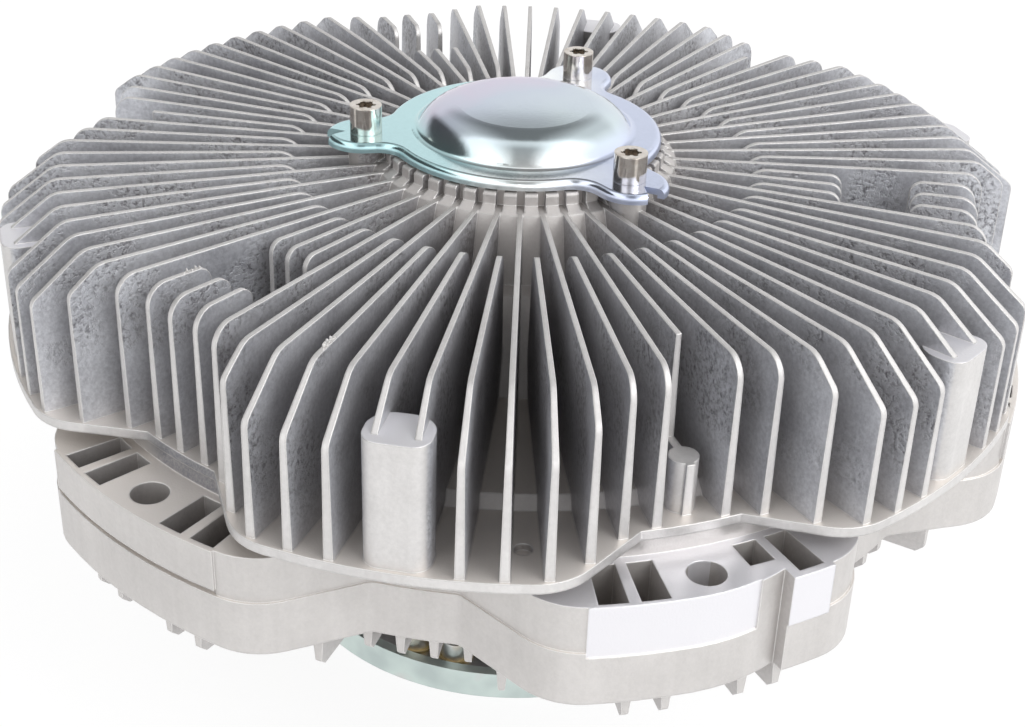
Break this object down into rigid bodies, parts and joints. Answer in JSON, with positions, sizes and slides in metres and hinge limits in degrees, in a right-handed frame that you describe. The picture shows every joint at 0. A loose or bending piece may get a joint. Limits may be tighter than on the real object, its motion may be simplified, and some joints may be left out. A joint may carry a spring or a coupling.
{
  "type": "viscous fan clutch",
  "caption": "Viscous fan clutch for a cooling fan: finned cast housing with drilled fan lugs and a domed cap, turning on a flanged input shaft with a bolt-on mounting ring.",
  "frame": {"origin": "centre of the pilot bore on the face that bolts to the drive", "axes": "+Z along the shaft from the mounting face to the domed cap; +X to the right and -Y towards the viewer in the picture"},
  "size_m": [0.3275, 0.328, 0.177],
  "materials": {
    "cast_aluminium": "as-cast light grey with rubbed bright edges",
    "machined_aluminium": "turned",
    "blue_zinc": "pale blue zinc plate with a pink tint",
    "zinc_plate": "pale blue-green zinc plate",
    "zinc_screw": "zinc plate",
    "yellow_zinc": "yellow zinc plate",
    "bright_nickel": "bright nickel plate",
    "machined_steel": "turned",
    "bearing_steel": "ground",
    "spring_steel": "dark oiled",
    "cage_brass": "machined",
    "seal_rubber": "matt"
  },
  "bodies": {
    "input": {"mount_ring": "zinc_plate", "input_shaft": "machined_steel", "flange_screws": "zinc_screw", "flange_washers": "yellow_zinc", "bearing_inner_ring": "bearing_steel", "rotor_disc": "machined_aluminium", "rotor_nut": "machined_steel"},
    "cage": {"bearing_cage": "cage_brass", "bearing_balls": "bearing_steel"},
    "housing": {"bearing_outer_ring": "bearing_steel", "bearing_seals": "machined_steel", "bearing_circlip": "spring_steel", "shaft_seal": "seal_rubber", "rear_body": "cast_aluminium", "front_cover": "cast_aluminium", "cover_screws": "zinc_screw", "cover_seal_ring": "seal_rubber", "separator_plate": "machined_steel", "separator_screws": "zinc_screw", "thermostat_coil": "spring_steel", "cap_gasket": "seal_rubber", "cap_plate": "blue_zinc", "cap_screws": "bright_nickel"},
    "valve": {"valve_shaft": "machined_steel", "valve_lever": "machined_steel"}
  },
  "joints": [
    {"name": "housing_spin", "type": "hinge", "parent": "input", "child": "housing", "pos_m": [0, 0, 0.049], "axis": [0, 0, 1], "continuous": true},
    {"name": "cage_spin", "type": "hinge", "parent": "input", "child": "cage", "pos_m": [0, 0, 0.049], "axis": [0, 0, 1], "continuous": true},
    {"name": "valve_turn", "type": "hinge", "parent": "housing", "child": "valve", "pos_m": [0, 0, 0.1133], "axis": [0, 0, 1], "range_deg": [0, 35]}
  ],
  "couplings": [
    {"joint": "cage_spin", "follows": "housing_spin", "ratio": 0.6}
  ]
}
